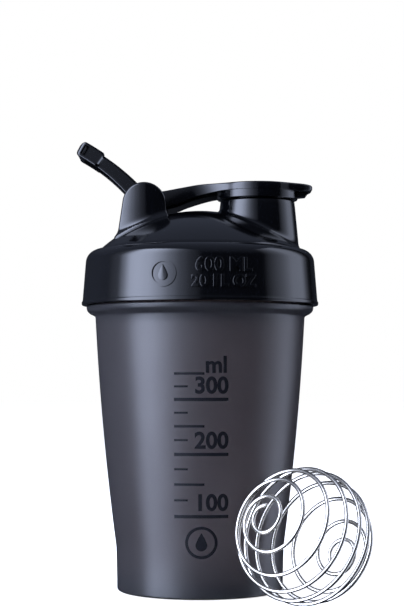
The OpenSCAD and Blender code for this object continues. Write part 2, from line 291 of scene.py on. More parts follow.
# %% The finishes of the pieces
black_gloss = finish_of(
    "black_gloss", (0.0010, 0.0011, 0.0016), {"IOR": 1.49},
    {"Wave Size": 90.0, "Grain Size": 2600.0, "Gloss": 0.12, "Unevenness": 0.02}, 0.05, 0.7, 1.3)
smoke_plastic = finish_of(
    "smoke_plastic", (0.41, 0.40, 0.42), {"IOR": 1.49, "Transmission Weight": 0.945},
    {"Wave Size": 45.0, "Grain Size": 1800.0, "Gloss": 0.34, "Unevenness": 0.03}, 0.05, 0.92, 1.08)
smoke_tree = smoke_plastic.node_tree
smoke = add_node(smoke_tree, "ShaderNodeVolumeAbsorption", {"Color": (0.38, 0.30, 0.28, 1), "Density": 770.0})
smoke_tree.links.new(smoke.outputs[0], smoke_tree.nodes["Material Output"].inputs["Volume"])
seal_silicone = finish_of(
    "seal_silicone", (0.03, 0.03, 0.034), {"IOR": 1.42, "Sheen Weight": 0.15},
    {"Wave Size": 200.0, "Grain Size": 4000.0, "Gloss": 0.62, "Unevenness": 0.06}, 0.3)
ground_steel = finish_of(
    "ground_steel", (0.62, 0.62, 0.64), {"Metallic": 1.0},
    {"Wave Size": 300.0, "Grain Size": 9000.0, "Gloss": 0.3, "Unevenness": 0.05}, 0.15)
wire_steel = finish_of(
    "wire_steel", (0.60, 0.57, 0.51), {"Metallic": 1.0},
    {"Wave Size": 150.0, "Grain Size": 6000.0, "Gloss": 0.12, "Unevenness": 0.04}, 0.06, 0.93, 1.05)
print("finishes:", [m.name for m in (black_gloss, smoke_plastic, seal_silicone, ground_steel, wire_steel)])

# %% [markdown]
# ## Tools for round pieces
# Most of the bottle is turned: an outline of distances from the axis and heights is spun once round. The
# outline's arcs come from one helper. A finished mesh is merged, given outward faces, and smoothed except
# over real edges.

# %% Arc, spin and finish helpers
def arc(centre, r, start, end, steps=8):
    """Points on an arc, for an outline. Angles are in degrees, anticlockwise from outwards."""
    angles = [math.radians(start + (end - start) * i / steps) for i in range(steps + 1)]
    return [(centre[0] + r * math.cos(a), centre[1] + r * math.sin(a)) for a in angles]


def spin_outline(bm, outline, steps=144, at=(0, 0), closed=False):
    """Spins an outline round an upright axis, and returns the new vertices."""
    before = set(bm.verts)
    verts = [bm.verts.new((at[0] + r, at[1], z)) for r, z in outline]
    edges = [bm.edges.new(pair) for pair in zip(verts, verts[1:])]
    if closed:
        edges.append(bm.edges.new((verts[-1], verts[0])))
    bmesh.ops.spin(bm, geom=verts + edges, cent=(at[0], at[1], 0), axis=(0, 0, 1), angle=2 * math.pi,
                   steps=steps, use_merge=True, use_duplicate=False)
    return [v for v in bm.verts if v not in before]


def finish_piece(bm, name, body, finish, nodes=(), sharp=35, merge=0.002):
    """Makes the mesh metres, gives it its finish, and puts it on its body in place of its design nodes."""
    bmesh.ops.remove_doubles(bm, verts=bm.verts, dist=merge)
    bmesh.ops.dissolve_degenerate(bm, edges=bm.edges, dist=0.0005)
    bmesh.ops.recalc_face_normals(bm, faces=bm.faces)
    bmesh.ops.scale(bm, vec=(MM, MM, MM), verts=bm.verts)
    mesh = bpy.data.meshes.new(name)
    bm.to_mesh(mesh)
    bm.free()
    mesh.shade_smooth()
    mesh.set_sharp_from_angle(angle=math.radians(sharp))
    mesh.materials.append(finish)
    piece = bpy.data.objects.new(name, mesh)
    scene.collection.objects.link(piece)
    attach(piece, body)
    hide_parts(*nodes)
    print(f"{name}: {len(mesh.polygons)} faces on {body}")
    return piece


# %% [markdown]
# ## Screw threads
# A thread is a small ridge that climbs as it goes round, so its section is spun with a rise at each step.
# At both ends the ridge dies away, so its last steps are pressed back towards the wall.

# %% Thread ridge
thread_z, lead, thread_turns, thread_steps = 123.0, 5.0, 1.5, 64
ridge_foot, ridge_crest = 1.2, 0.4
run_outs_per_turn, least_height = 8, 0.05


def wind_ridge(bm, root_r, crest_r, start_z):
    """A ridge on a round wall, from the root radius to the crest radius."""
    before = set(bm.verts)
    section = [(root_r, -ridge_foot), (crest_r, -ridge_crest), (crest_r, ridge_crest), (root_r, ridge_foot)]
    verts = [bm.verts.new((r, 0, start_z + h)) for r, h in section]
    edges = [bm.edges.new((verts[i], verts[(i + 1) % 4])) for i in range(4)]
    bm.faces.new(verts)
    count = int(thread_steps * thread_turns)
    spun = bmesh.ops.spin(bm, geom=verts + edges, cent=(0, 0, 0), axis=(0, 0, 1),
                          dvec=(0, 0, lead / thread_steps), angle=2 * math.pi * thread_turns, steps=count,
                          use_merge=False, use_duplicate=False)
    last = [v for v in spun["geom_last"] if isinstance(v, bmesh.types.BMVert)]
    bmesh.ops.contextual_create(bm, geom=last)
    for v in [v for v in bm.verts if v not in before]:
        flat = Vector((v.co.x, v.co.y))
        if abs(flat.length - crest_r) < 0.01:
            turns = math.degrees(math.atan2(v.co.y, v.co.x)) % 360 / 360
            base = v.co.z - start_z
            laps = min((turns + k for k in range(2)), key=lambda t: abs(base - lead * t))
            to_end = min(laps, thread_turns - laps)
            share = max(least_height, min(1, to_end * run_outs_per_turn))
            flat *= (root_r + (crest_r - root_r) * share) / flat.length
            v.co.x, v.co.y = flat


# %% [markdown]
# ## Cup
# The cup is thin and even: a standing ring with a pushed-up middle, a short, nearly straight foot, a long
# flare that eases off towards the top, a round collar, and a straight neck for the thread. Outside and
# inside are one closed outline, because light has to pass through a wall with a real thickness to look like
# smoke plastic.

# %% Cup
foot_top, foot_r, flare_rise, flare_top_r = 18, 34.6, 94.2, 43.5
cup_wall, cup_floor, flare_steps = 1.8, 4.0, 28


def flare_r(z):
    """Outer radius of the cup between its foot and its collar."""
    s = min(1, max(0, (z - foot_top) / flare_rise))
    return foot_r + (flare_top_r - foot_r) * (1.43 * s - 0.43 * s * s)


flare_heights = [foot_top + flare_rise * i / flare_steps for i in range(flare_steps + 1)]
flare = [(flare_r(z), z) for z in flare_heights]
inside = [(r - cup_wall, z) for r, z in reversed(flare)]
cup_outline = (
    [(0, 1.6), (24.8, 1.6), (25.6, 1.45), (26.5, 0.4), (27.2, 0.05), (28, 0), (31, 0)]
    + arc((33.0, 1.2), 1.2, -90, 0, 8) + [(34.25, 6), (34.4, 12)] + flare
    + [(43.75, 112.65), (44.5, 113.15), (45.6, 113.65), (46.4, 114.3), (46.95, 115.0)]
    + arc((46.5, 116.2), 0.7, -20, 90, 7)
    + [(44.3, 117), (43.75, 117.2), (43.6, 117.8)] + arc((43.1, brim_z - 0.5), 0.5, 0, 90, 4)
    + arc((42.1, brim_z - 0.3), 0.3, 90, 180, 3) + [(41.8, 117.5)] + inside
    + [(32.5, 12)] + arc((28.4, 8), 4, 0, -90, 10) + [(20, cup_floor), (0, cup_floor)])
bm = bmesh.new()
spin_outline(bm, cup_outline, 160)
wind_ridge(bm, 43.3, 45.0, thread_z)
finish_piece(bm, "cup_body", "cup", smoke_plastic, ["cup"], sharp=50)

# %% [markdown]
# ## Gasket
# A soft ring sits in the lid's ceiling and meets the brim. It is one small round section, spun.

# %% Gasket
gasket_round = 0.4
gasket_low, gasket_high = low("lid_gasket")[2] + gasket_round, high("lid_gasket")[2] - gasket_round
gasket_in, gasket_out = 42.4, 43.4
bm = bmesh.new()
spin_outline(bm, arc((gasket_in, gasket_low), gasket_round, 180, 270, 4)
             + arc((gasket_out, gasket_low), gasket_round, 270, 360, 4)
             + arc((gasket_out, gasket_high), gasket_round, 0, 90, 4)
             + arc((gasket_in, gasket_high), gasket_round, 90, 180, 4), closed=True)
finish_piece(bm, "gasket_ring", "gasket", seal_silicone, ["lid_gasket"], sharp=50)

# %% [markdown]
# ## Lid
# The lid's skirt leans in a little so that it leaves the mould, and rolls over a round shoulder. A fine
# groove parts the shoulder from the dome. The outline runs on inside: the dome's underside, the lip that
# plugs the brim, the gasket's seat, and the wide bore for the thread. The spout's hole is then cut through
# the dome.

# %% Lid shell
shoulder_z, dome_r, dome_z, dome_wall = 140.3, 61.5, 95.2, 2.2
ceiling_z = brim_z + 1.4
lip_z = brim_z - 4.6
spout_hole_r = 13.9


def dome_height(x, y, r=dome_r):
    """Height of the dome over a place in the plan, and of the flat shoulder beyond its edge."""
    return max(shoulder_z, dome_z + math.sqrt(max(0, r * r - x * x - y * y)))


def dome_arc(r, from_r, to_r, steps):
    """The dome's outline between two distances from the axis."""
    start, end = math.degrees(math.acos(from_r / r)), math.degrees(math.acos(to_r / r))
    return arc((0, dome_z), r, start, end, steps)


lid_outline = (
    [(46.9, 117.2), (48.7, 117.2)] + arc((48.7, 117.7), 0.5, -80, 0, 4) + [(49.25, 118.3)]
    + arc((48.85, 118.5), 0.35, 0, 80, 4) + [(48.87, 119.1), (48.8, 119.8)]
    + arc((42.2, shoulder_z - 5.4), 5.4, 4, 88, 18)
    + [(42.3, shoulder_z - 0.1), (42.1, shoulder_z - 0.45), (41.75, shoulder_z - 0.5)]
    + [(41.6, shoulder_z - 0.15)]
    + dome_arc(dome_r, 41.4, 0.0, 30)
    + dome_arc(dome_r - dome_wall, 0.0, 39.9, 24)
    + arc((40.3, lip_z), 0.4, 180, 270, 3) + arc((41.1, lip_z), 0.4, 270, 360, 3)
    + [(41.5, ceiling_z), (44.2, ceiling_z), (45.4, ceiling_z - 2)]
    + [(45.4, 120.2), (46.6, 118.0), (46.8, 117.4)])
bm = bmesh.new()
spin_outline(bm, lid_outline, 180)
lid_shell = finish_piece(bm, "lid_shell", "lid", black_gloss, ["lid"], sharp=40)

# %% Cutting with another shape
def cut(piece, cutter_bm):
    """Takes a closed shape, in millimetres, out of a finished piece."""
    bmesh.ops.scale(cutter_bm, vec=(MM, MM, MM), verts=cutter_bm.verts)
    bmesh.ops.recalc_face_normals(cutter_bm, faces=cutter_bm.faces)
    mesh = bpy.data.meshes.new("cutter")
    cutter_bm.to_mesh(mesh)
    cutter_bm.free()
    cutter = bpy.data.objects.new("cutter", mesh)
    scene.collection.objects.link(cutter)
    knife = piece.modifiers.new("cut", "BOOLEAN")
    knife.operation, knife.solver, knife.object = "DIFFERENCE", "EXACT", cutter
    bpy.context.view_layer.update()
    whole = piece.evaluated_get(bpy.context.evaluated_depsgraph_get())
    result = bpy.data.meshes.new_from_object(whole)
    piece.modifiers.clear()
    old, name = piece.data, piece.data.name
    piece.data = result
    bpy.data.meshes.remove(old)
    result.name = name
    bpy.data.objects.remove(cutter)
    bpy.data.meshes.remove(mesh)
    print(f"{piece.name}: cut, {len(result.polygons)} faces")


def drum(r, z0, z1, at=(0, 0), steps=96):
    """An upright closed cylinder."""
    bm = bmesh.new()
    bmesh.ops.create_cone(bm, cap_ends=True, segments=steps, radius1=r, radius2=r, depth=z1 - z0,
                          matrix=Matrix.Translation((at[0], at[1], (z0 + z1) / 2)))
    return bm


cut(lid_shell, drum(spout_hole_r, 136, 160, (spout_x, 0)))

# %% [markdown]
# ## Spout
# The spout is a short tapered tube on its own axis. Its foot runs out into the dome in a fillet whose
# height changes all the way round, so the spun rings near the foot are moved onto the dome afterwards.

# %% Spout
fillet_rings, fillet_rise, fillet_reach = 6, 2.2, 1.9
spout_bore_r, spout_top_z, spout_top_r, spout_taper = 13.0, 161, 15.5, 0.093
spout_outline = (
    [(spout_hole_r, 0), (spout_bore_r, 0.001), (spout_bore_r, 160.5)]
    + arc((13.5, 160.5), 0.5, 180, 90, 4) + arc((14.7, 160.2), 0.8, 90, 5, 5)
    + [(15.75, 158.3)] + [(15.85 + 0.08 * i, 157 - i) for i in range(fillet_rings + 1)])
bm = bmesh.new()
for v in spin_outline(bm, spout_outline, 144, at=(spout_x, 0)):
    out = Vector((v.co.x - spout_x, v.co.y))
    if v.co.z < 0.5:
        if out.length > (spout_hole_r + spout_bore_r) / 2:
            v.co.z = dome_height(v.co.x, v.co.y, dome_r - 1.6)
        else:
            v.co.z = dome_height(v.co.x, v.co.y, dome_r - 2.0) - 0.4
    elif v.co.z < 157.5:
        share = (157 - v.co.z) / fillet_rings
        way = out.normalized()
        wall_z = dome_height(v.co.x, v.co.y) + fillet_rise
        wall_r = spout_top_r + (spout_top_z - wall_z) * spout_taper
        foot = Vector((spout_x, 0)) + way * (wall_r + fillet_reach)
        foot_z = dome_height(foot.x, foot.y) - 0.05
        bend_z = dome_height(spout_x + way.x * wall_r, way.y * wall_r) + 0.1
        r = wall_r + fillet_reach * share * share
        v.co.x, v.co.y = Vector((spout_x, 0)) + way * r
        v.co.z = (1 - share) ** 2 * wall_z + 2 * share * (1 - share) * bend_z + share * share * foot_z
finish_piece(bm, "spout", "lid", black_gloss, ["lid"], sharp=50)

# %% [markdown]
# ## Thread inside the lid
# It is the same helix as the cup's, a little lower, so that the two stay side by side as the lid is turned.

# %% Lid thread
bm = bmesh.new()
wind_ridge(bm, 45.7, 44.0, thread_z - 1.9)
finish_piece(bm, "lid_thread", "lid", black_gloss, ["lid"], sharp=30)

# %% [markdown]
# ## Hinge cheeks
# Two upright cheeks hold the pin. Seen from the side each is a tombstone with a rounded rim. Seen from
# above its outer face is part of a drum, and at the foot it runs out into the dome. The flat shape is
# extruded and its rim bevelled, then sliced, so that its vertices can follow the drum and the foot's hollow
# curve.

# %% Cheeks
def slice_along(bm, axis, start, end, step):
    """Cuts a mesh with many parallel planes, so that it can be bent."""
    normal = Vector((axis == "x", axis == "y", axis == "z"))
    place = start
    while place < end:
        bmesh.ops.bisect_plane(bm, geom=bm.verts[:] + bm.edges[:] + bm.faces[:], dist=0.0001,
                               plane_co=normal * place, plane_no=normal)
        place += step


def raise_sheet(bm, plan, thickness, along=(0, 0, 1)):
    """A flat closed outline of (x, y, z) corners, extruded. Returns the far side's vertices."""
    face = bm.faces.new([bm.verts.new(p) for p in plan])
    grown = bmesh.ops.extrude_face_region(bm, geom=[face], use_keep_orig=True)
    far = [v for v in grown["geom"] if isinstance(v, bmesh.types.BMVert)]
    bmesh.ops.translate(bm, vec=Vector(along) * thickness, verts=far)
    return far


def round_rim(bm, verts, offset, segments=4):
    """Bevels the closed rim that joins the given vertices."""
    chosen = set(verts)
    rim = [e for e in bm.edges if e.verts[0] in chosen and e.verts[1] in chosen]
    bmesh.ops.bevel(bm, geom=rim, offset=offset, offset_type="OFFSET", affect="EDGES", segments=segments,
                    profile=0.5, material=-1, clamp_overlap=True)


cheek_in, cheek_out, cheek_r, cheek_drum_r = 11.4, 15.4, 9.0, 24
hollow_rise, hollow_out, hollow_along = 3, 1.5, 1.0


def cheek_depth(x):
    """How far out the drum-shaped face is, beside the hinge line."""
    beside = min(cheek_drum_r - 1, abs(x - hinge_x))
    return cheek_out - cheek_drum_r + math.sqrt(cheek_drum_r ** 2 - beside ** 2)


def cheek(side, name):
    """One cheek of the lid, in front of the cap for side -1 and behind it for side 1."""
    bm = bmesh.new()
    plan = ([(x, cheek_in, z) for x, z in arc((hinge_x, hinge_z), cheek_r, 4, 176, 36)]
            + [(hinge_x - 11.0, cheek_in, 145.6), (hinge_x - 11.6, cheek_in, 141)]
            + [(hinge_x + 9.6, cheek_in, 141), (hinge_x + 9.4, cheek_in, 147)]
            + [(hinge_x + 9.2, cheek_in, 152)])
    far = raise_sheet(bm, plan, cheek_out - cheek_in, (0, 1, 0))
    round_rim(bm, far, 0.9, 6)
    slice_along(bm, "x", hinge_x - 12, hinge_x + 10, 0.9)
    slice_along(bm, "z", 142, 156, 0.7)
    for v in bm.verts:
        share = (v.co.y - cheek_in) / (cheek_out - cheek_in)
        y = cheek_in + share * (cheek_depth(v.co.x) - cheek_in)
        lift = v.co.z - dome_height(v.co.x, y)
        if lift < hollow_rise:
            hollow = (1 - max(0, lift) / hollow_rise) ** 2
            y += hollow_out * hollow * share
            v.co.x += hollow_along * hollow * (v.co.x - hinge_x) / 10
        v.co.y = y * side
    bmesh.ops.bisect_plane(bm, geom=bm.verts[:] + bm.edges[:] + bm.faces[:], dist=0.0001,
                           plane_co=(0, 0, 141.5), plane_no=(0, 0, -1), clear_outer=True)
    finish_piece(bm, name, "lid", black_gloss, ["lid"], sharp=60, merge=0.01)


cheek(-1, "front_cheek")
cheek(1, "back_cheek")

# %% [markdown]
# ## Hinge pin
# A ground pin with small chamfers. It is spun upright and then laid down along the hinge.

# %% Hinge pin
chamfer = 0.3
bm = bmesh.new()
half = (high("hinge_pin")[1] - low("hinge_pin")[1]) / 2
spin_outline(bm, [(0, -half), (pin_r - chamfer, -half), (pin_r, -half + chamfer), (pin_r, half - chamfer),
                  (pin_r - chamfer, half), (0, half)], 48)
bmesh.ops.rotate(bm, cent=(0, 0, 0), matrix=Matrix.Rotation(math.pi / 2, 3, "X"), verts=bm.verts)
bmesh.ops.translate(bm, vec=(hinge_x, 0, hinge_z), verts=bm.verts)
finish_piece(bm, "pin", "lid", ground_steel, ["hinge_pin"], sharp=30)

# %% [markdown]
# ## Flip cap
# The cap's plate and arm are one plan, a disc that runs into a narrow arm and a thumb tab. It is extruded
# flat, its rims are rounded, and it is sliced and bent to the cap's side view: the arm drops and deepens to
# the hinge. The arm is a channel underneath, with a rib down its middle.

# %% Cap plate and arm
cap_top = high("flip_cap")[2]
tab_x = high("flip_cap")[0]


def curve_through(points, x):
    """Height at x on a smooth curve through points, given from left to right."""
    if x <= points[0][0]:
        return points[0][1]
    for i in range(len(points) - 1):
        (x0, z0), (x1, z1) = points[i], points[i + 1]
        if x <= x1:
            before, after = points[max(0, i - 1)], points[min(len(points) - 1, i + 2)]
            s0 = (z1 - before[1]) / (x1 - before[0]) if x1 > before[0] else 0
            s1 = (after[1] - z0) / (after[0] - x0) if after[0] > x0 else 0
            t, w = (x - x0) / (x1 - x0), x1 - x0
            return ((2 * t ** 3 - 3 * t ** 2 + 1) * z0 + (t ** 3 - 2 * t ** 2 + t) * w * s0
                    + (3 * t ** 2 - 2 * t ** 3) * z1 + (t ** 3 - t ** 2) * w * s1)
    return points[-1][1]


top_line = [(hinge_x, hinge_z + 5.0), (hinge_x + 9.2, cap_top - 2.75), (hinge_x + 15, cap_top - 1.65),
            (0, cap_top - 0.32), (8, cap_top), (16, cap_top), (34, cap_top), (40, cap_top - 0.08),
            (44, cap_top - 0.25), (tab_x, cap_top - 0.7)]
under_line = [(hinge_x, hinge_z - 1.0), (-18, hinge_z - 0.8), (-13.3, hinge_z - 0.3), (-9, cap_top - 8.3),
              (-4, cap_top - 6.3), (2, cap_top - 4.5), (8.5, cap_top - 3.3), (12, cap_top - 3.2),
              (40, cap_top - 3.2), (44, cap_top - 3.2), (tab_x, cap_top - 2.6)]
disc_r, arm_y = 17.2, 7.0
arm_fillet_at, arm_fillet_r = (-3.14, 31), 24
sheet_h, upper_rim, lower_rim = 4.0, 3.1, 0.6

# The plan's corners on its +Y side, from the hinge to the tab's end
half_plan = ([(hinge_x, arm_y), (hinge_x + 10, arm_y)]
             + arc(arm_fillet_at, arm_fillet_r, -90, -48.8, 14)[:-1]
             + arc((spout_x, 0), disc_r, 131.2, 58, 24)
             + [(36.5, 12.3), (39.8, 10.4), (42.6, 8.9)] + arc((tab_x - 3.4, 4.6), 3.4, 50, 0, 6))
bm = bmesh.new()
plan = [(x, y, 0) for x, y in half_plan] + [(x, -y, 0) for x, y in reversed(half_plan)]
far = raise_sheet(bm, plan, sheet_h)
near = [v for v in bm.verts if v.co.z < 1]
round_rim(bm, far, 0.7, 4)
round_rim(bm, [v for v in near if v.is_valid], 0.45, 2)
slice_along(bm, "x", hinge_x + 1, tab_x, 1.15)
for v in bm.verts:
    top, under = curve_through(top_line, v.co.x), curve_through(under_line, v.co.x)
    if v.co.z > upper_rim:
        v.co.z = top - (sheet_h - v.co.z)
    elif v.co.z < lower_rim:
        v.co.z = under + v.co.z
    else:
        v.co.z = under + v.co.z * (top - sheet_h + upper_rim - under) / upper_rim
cap_plate = finish_piece(bm, "cap_plate", "flip_cap", black_gloss, ["flip_cap"], sharp=40)
channel = Matrix.Translation((hinge_x + 19, 0, 156.7)) @ Matrix.Diagonal((22, 10, 13.4, 1))
bm = bmesh.new()
bmesh.ops.create_cube(bm, size=1, matrix=channel)
cut(cap_plate, bm)

# %% Cap underside: ring, plug, rib and thumb gusset
ring_z, plug_low = cap_top - 6.3, cap_top - 11.0
plug_in, plug_out, groove_floor = 10, 12, 11.2
groove_low, groove_high = plug_low + 1.2, plug_low + 3.6
bm = bmesh.new()
spin_outline(bm, [(14.2, cap_top - 2.8), (14.2, ring_z + 0.4)] + arc((14.6, ring_z + 0.4), 0.4, 180, 270, 4)
             + arc((16.35, ring_z + 0.45), 0.45, 270, 360, 5) + [(16.85, cap_top - 2.8)],
             at=(spout_x, 0), closed=True)
spin_outline(bm, [(plug_in, cap_top - 1), (plug_in, plug_low + 0.4)]
             + arc((10.4, plug_low + 0.4), 0.4, 180, 270, 3) + arc((11.4, plug_low + 0.6), 0.6, 270, 360, 4)
             + [(plug_out, groove_low), (groove_floor, groove_low), (groove_floor, groove_high),
                (plug_out, groove_high), (plug_out, cap_top - 1)], at=(spout_x, 0), closed=True)
rib_half, rib_step, rib_top_x = 1.2, 1.5, 10
rib_under = [(hinge_x + 1, hinge_z - 4.8), (hinge_x + 4.4, hinge_z - 3.4), (-14, 155.6), (-10, 156.3),
             (-8, 156.95), (-6.7, 157.6), (-4.2, 158.5), (-1.7, 159.35), (0.8, 160.1), (3.3, 160.8),
             (5.8, 161.35), (8, 161.7), (rib_top_x, 161.8)]
rib_places = [hinge_x + 1 + rib_step * i for i in range(22)]
rib = [(x, -rib_half, curve_through(rib_under, x)) for x in rib_places]
rib += [(rib_top_x, -rib_half, cap_top - 1), (0, -rib_half, cap_top - 1.4)]
rib += [(hinge_x + 1, -rib_half, hinge_z + 3)]
round_rim(bm, raise_sheet(bm, rib, 2 * rib_half, (0, 1, 0)), 0.25, 2)
gusset_half = 3.2
gusset_side = ((39.4, ring_z + 0.9), (41, ring_z + 1.05), (44, ring_z + 1.35),
               (45.5, cap_top - 2.9), (39.4, cap_top - 2.6))
gusset = [(x, -gusset_half, z) for x, z in gusset_side]
round_rim(bm, raise_sheet(bm, gusset, 2 * gusset_half, (0, 1, 0)), 0.5, 3)
finish_piece(bm, "cap_underside", "flip_cap", black_gloss, ["flip_cap"], sharp=40)


# %% Rings that turn on the pin, and the cap's knuckle
pin_clearance, knuckle_r = 0.05, 5.0


def eye_ring(bm, r, from_y, to_y, rim):
    """A ring with rounded rims round the hinge pin, between two places along it."""
    half = (to_y - from_y) / 2
    bore_r = pin_r + pin_clearance
    ring = spin_outline(bm, [(bore_r, -half), (r - rim, -half)] + arc((r - rim, -half + rim), rim, -90, 0, 4)
                        + arc((r - rim, half - rim), rim, 0, 90, 4) + [(bore_r, half)], 64, closed=True)
    bmesh.ops.rotate(bm, cent=(0, 0, 0), matrix=Matrix.Rotation(math.pi / 2, 3, "X"), verts=ring)
    bmesh.ops.translate(bm, vec=(hinge_x, (from_y + to_y) / 2, hinge_z), verts=ring)


bm = bmesh.new()
eye_ring(bm, knuckle_r, -arm_y, arm_y, 0.4)
finish_piece(bm, "cap_knuckle", "flip_cap", black_gloss, ["flip_cap"], sharp=40)

# %% [markdown]
# ## Spout seal
# A silicone ring in the plug's groove. Only its round outer side ever shows, when the cap is open.

# %% Spout seal
seal_z = (low("spout_seal")[2] + high("spout_seal")[2]) / 2
seal_in, seal_half = 11.25, 1.05
bm = bmesh.new()
spin_outline(bm, [(seal_in, seal_z + seal_half), (seal_in, seal_z - seal_half)]
             + arc((11.6, seal_z), 1.08, -72, 72, 10),
             at=(spout_x, 0), closed=True)
finish_piece(bm, "spout_seal_ring", "flip_cap", seal_silicone, ["spout_seal"], sharp=50)

# %% [markdown]
# ## Carry loop
# One bar goes out from the hinge, round a square tip and back, bending down a little all the way. Its legs
# are plain and thin down towards the tip. The tip's two sides are hollowed, with a rim above and below. The
# section is extruded straight, each of its corners remembers its number, and the slices are laid along the
# loop's path.

# %% Carry loop
loop_l, loop_lean, loop_bend = 36.3, math.radians(53), math.radians(25)
leg_y, tip_y, hole_y, tip_from = 10.0, 11.0, 7.4, 26.1
tip_corner_r, hole_corner_r, hole_end, tip_bar = 2, 0.6, loop_l - 3.6, 3
loop_ring_r, loop_ring_rim = 4.6, 0.35
leg_run, corner_run, bar_run = loop_l - tip_corner_r, 3.1, 18.0
half_run = leg_run + corner_run + bar_run / 2


def smooth_step(value, start, end):
    """0 before start, 1 after end, and an even change between them."""
    t = min(1, max(0, (value - start) / (end - start)))
    return t * t * (3 - 2 * t)


def loop_places(run, tip):
    """Outer and inner place in the loop's plan, at a length along the bar."""
    turn = math.radians(min(90, max(0, (run - leg_run) / corner_run * 90)))
    straight_y, hole_straight_y = tip_y - tip_corner_r, hole_y - hole_corner_r
    if run <= leg_run:
        return (run, leg_y + (tip_y - leg_y) * tip), (min(run, hole_end), hole_y)
    if run <= leg_run + corner_run:
        return ((leg_run + tip_corner_r * math.sin(turn), straight_y + tip_corner_r * math.cos(turn)),
                (hole_end + hole_corner_r * math.sin(turn), hole_straight_y + hole_corner_r * math.cos(turn)))
    y = straight_y - (run - leg_run - corner_run)
    return (loop_l, y), (loop_l - tip_bar, min(y, hole_straight_y))


def loop_section(run, tip, width):
    """Corners of the section, as distances in from the outer side and heights."""
    end = smooth_step(run, leg_run, leg_run + corner_run)
    web = 1.3 * tip * (1 - smooth_step(run, loop_l - 3.0, loop_l - 1.6))

    def side(height, round_r):
        rim = max(1.1, round_r + 0.1)
        rounding = [(round_r * (1 - math.sin(t)), height - round_r * (1 - math.cos(t)))
                    for t in (math.radians(k * 22.5) for k in range(5))]
        return ([(width, height - 0.35), (width - 0.35, height)] + rounding
                + [(0, height - rim), (web, height - rim - 0.15)])

    way = run / tip_from
    rise = (3.9 - 0.95 * way) * (1 - tip) + 3.9 * tip
    drop = (2.8 - 0.45 * way) * (1 - tip) + 2.5 * tip
    upper = side(rise, 0.35 + 0.15 * tip + 2.1 * end)
    lower = side(drop, 0.35 + 0.15 * tip + 1.1 * end)
    return upper + [(inward, -height) for inward, height in reversed(lower)]


def lay_loop(v, number):
    """Moves a vertex of the straight bar, at a numbered corner of the section, onto the loop."""
    run = min(v.co.x, 2 * half_run - v.co.x)
    side = 1 if v.co.x <= half_run else -1
    tip = smooth_step(run, tip_from - 0.7, tip_from + 0.5)
    outer, inner = loop_places(run, tip)
    width = math.dist(outer, inner)
    inward, height = loop_section(run, tip, width)[number]
    along = outer[0] + (inner[0] - outer[0]) * inward / width
    across = side * (outer[1] + (inner[1] - outer[1]) * inward / width)
    bend_r = loop_l / loop_bend
    a = along / bend_r
    u, w = (bend_r + height) * math.sin(a), (bend_r + height) * math.cos(a) - bend_r
    v.co = (hinge_x - u * math.cos(loop_lean) + w * math.sin(loop_lean), across,
            hinge_z + u * math.sin(loop_lean) + w * math.cos(loop_lean))


bm = bmesh.new()
corner = bm.verts.layers.float.new("corner")
corners = len(loop_section(0, 0, 3))
start_run = pin_r + 0.3
spread = 0.01
numbered = [(start_run, (0.5 + i) * spread, i * i * spread) for i in range(corners)]
raise_sheet(bm, numbered, 2 * (half_run - start_run), (1, 0, 0))
for v in bm.verts:
    v[corner] = round(v.co.y / spread - 0.5)
for start, end, step in ((3.5, 25, 1.5), (25.4, 26.7, 0.2), (27.3, 33, 0.8), (33.3, 34.2, 0.2),
                         (34.3, 37.5, 0.25), (38.5, 46.4, 1.5)):
    slice_along(bm, "x", start, end, step)
    slice_along(bm, "x", 2 * half_run - end + 0.001, 2 * half_run - start + 0.002, step)
for v in bm.verts:
    lay_loop(v, round(v[corner]))
bm.verts.layers.float.remove(corner)
eye_ring(bm, loop_ring_r, hole_y, leg_y + 0.5, loop_ring_rim)
eye_ring(bm, loop_ring_r, -leg_y - 0.5, -hole_y, loop_ring_rim)
finish_piece(bm, "loop_bar", "carry_loop", black_gloss, ["carry_loop"], sharp=35)

# %% [markdown]
# ## Whisk ball
# One length of stainless wire is wound from pole to pole on a ball, closer at both poles. A curve follows
# the winding, less its first tenth of a turn, and the curve's round bevel is the wire. Each end is domed.

# %% Whisk ball
wire_r, wind_turns, wire_start = 0.8, 9.42, 0.0105
ball_r = 26.5
first_pole, last_pole, first_turn = 10.4, 12.1, 61.5
first_close, last_close, close_middle = 1.57, 1.18, 0.029
ball_at = Vector((39.8, -49, ball_r))
aim, tilt_up = math.radians(-132), math.radians(20.2)
axis = Vector((math.cos(tilt_up) * math.cos(aim), math.cos(tilt_up) * math.sin(aim), math.sin(tilt_up)))
across = Vector((0, 0, 1)).cross(axis).normalized()
upward = axis.cross(across)


def wound(t):
    """Share of the way from pole to pole at a share t of the wire."""
    first, last = first_close / wind_turns, last_close / wind_turns
    full = 1 - (first + last) / 2
    way = (t * t / (2 * first) if t < first else t - first / 2 if t < 1 - last
           else full - (1 - t) ** 2 / (2 * last)) / full
    return way + close_middle * math.sin(2 * math.pi * way)


def on_ball(t):
    """The middle of the wire at a share t of its winding."""
    tilt = math.radians(first_pole + (180 - last_pole - first_pole) * wound(t))
    turn = math.radians(first_turn + 360 * wind_turns * t)
    return ball_at + (ball_r - wire_r) * (math.cos(tilt) * axis + math.sin(tilt)
                                         * (math.cos(turn) * across + math.sin(turn) * upward))


